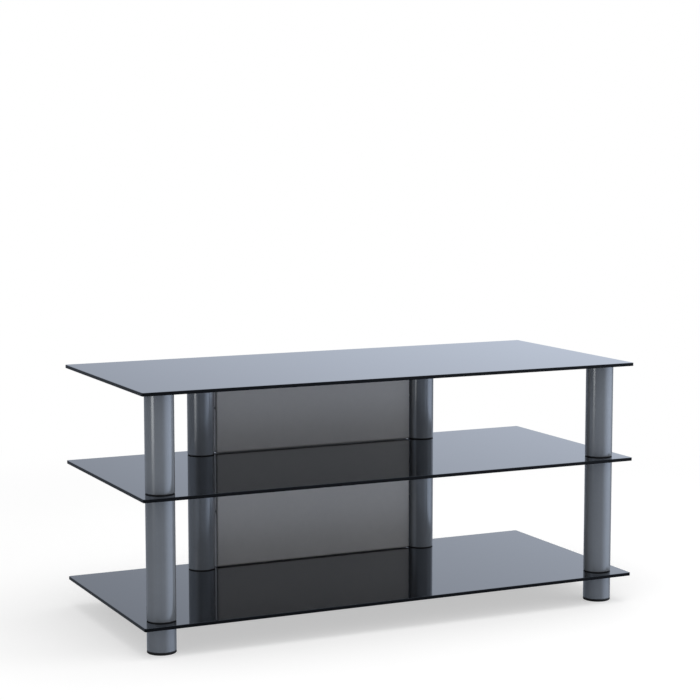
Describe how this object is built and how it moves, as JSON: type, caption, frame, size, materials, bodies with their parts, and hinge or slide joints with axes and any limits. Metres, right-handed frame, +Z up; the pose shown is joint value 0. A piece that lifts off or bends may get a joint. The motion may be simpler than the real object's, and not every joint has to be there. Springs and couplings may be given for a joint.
{
  "type": "tv rack",
  "caption": "Low television rack: black glass shelves clamped on round satin metal posts, with grey back panels between the rear posts and black screw glides.",
  "frame": {"origin": "on the floor, under the middle of the shelves", "axes": "+X along the shelves to the viewer's right, +Y to the back, +Z up"},
  "size_m": [0.95, 0.42, 0.447],
  "materials": {
    "black_glass": "black tinted, polished, opaque",
    "satin_tube": "satin anodised",
    "black_plastic": "moulded, matt",
    "black_rubber": "matt",
    "panel_grey": "satin metallic paint",
    "bright_steel": "zinc plated"
  },
  "bodies": {
    "rack": {"top_shelf": "black_glass", "middle_shelf": "black_glass", "bottom_shelf": "black_glass", "front_left_upper_tube": "satin_tube", "front_right_upper_tube": "satin_tube", "rear_left_upper_tube": "satin_tube", "rear_right_upper_tube": "satin_tube", "front_left_lower_tube": "satin_tube", "front_right_lower_tube": "satin_tube", "rear_left_lower_tube": "satin_tube", "rear_right_lower_tube": "satin_tube", "front_left_foot_tube": "satin_tube", "front_right_foot_tube": "satin_tube", "rear_left_foot_tube": "satin_tube", "rear_right_foot_tube": "satin_tube", "front_left_upper_top_collar": "black_plastic", "front_right_upper_top_collar": "black_plastic", "rear_left_upper_top_collar": "black_plastic", "rear_right_upper_top_collar": "black_plastic", "front_left_upper_bottom_collar": "black_plastic", "front_right_upper_bottom_collar": "black_plastic", "rear_left_upper_bottom_collar": "black_plastic", "rear_right_upper_bottom_collar": "black_plastic", "front_left_lower_top_collar": "black_plastic", "front_right_lower_top_collar": "black_plastic", "rear_left_lower_top_collar": "black_plastic", "rear_right_lower_top_collar": "black_plastic", "front_left_lower_bottom_collar": "black_plastic", "front_right_lower_bottom_collar": "black_plastic", "rear_left_lower_bottom_collar": "black_plastic", "rear_right_lower_bottom_collar": "black_plastic", "front_left_foot_top_collar": "black_plastic", "front_right_foot_top_collar": "black_plastic", "rear_left_foot_top_collar": "black_plastic", "rear_right_foot_top_collar": "black_plastic", "front_left_foot_insert": "black_plastic", "front_right_foot_insert": "black_plastic", "rear_left_foot_insert": "black_plastic", "rear_right_foot_insert": "black_plastic", "front_left_bond_disc": "bright_steel", "front_right_bond_disc": "bright_steel", "rear_left_bond_disc": "bright_steel", "rear_right_bond_disc": "bright_steel", "front_left_tension_rod": "bright_steel", "front_right_tension_rod": "bright_steel", "rear_left_tension_rod": "bright_steel", "rear_right_tension_rod": "bright_steel", "upper_back_panel": "panel_grey", "lower_back_panel": "panel_grey", "upper_rear_left_panel_screw": "bright_steel", "upper_rear_right_panel_screw": "bright_steel", "lower_rear_left_panel_screw": "bright_steel", "lower_rear_right_panel_screw": "bright_steel"},
    "front_left_glide": {"front_left_glide": "black_rubber"},
    "front_right_glide": {"front_right_glide": "black_rubber"},
    "rear_left_glide": {"rear_left_glide": "black_rubber"},
    "rear_right_glide": {"rear_right_glide": "black_rubber"}
  },
  "joints": [
    {"name": "front_left_levelling", "type": "slide", "parent": "rack", "child": "front_left_glide", "axis": [0, 0, -1], "range_m": [0, 0.005]},
    {"name": "front_right_levelling", "type": "slide", "parent": "rack", "child": "front_right_glide", "axis": [0, 0, -1], "range_m": [0, 0.005]},
    {"name": "rear_left_levelling", "type": "slide", "parent": "rack", "child": "rear_left_glide", "axis": [0, 0, -1], "range_m": [0, 0.005]},
    {"name": "rear_right_levelling", "type": "slide", "parent": "rack", "child": "rear_right_glide", "axis": [0, 0, -1], "range_m": [0, 0.005]}
  ]
}
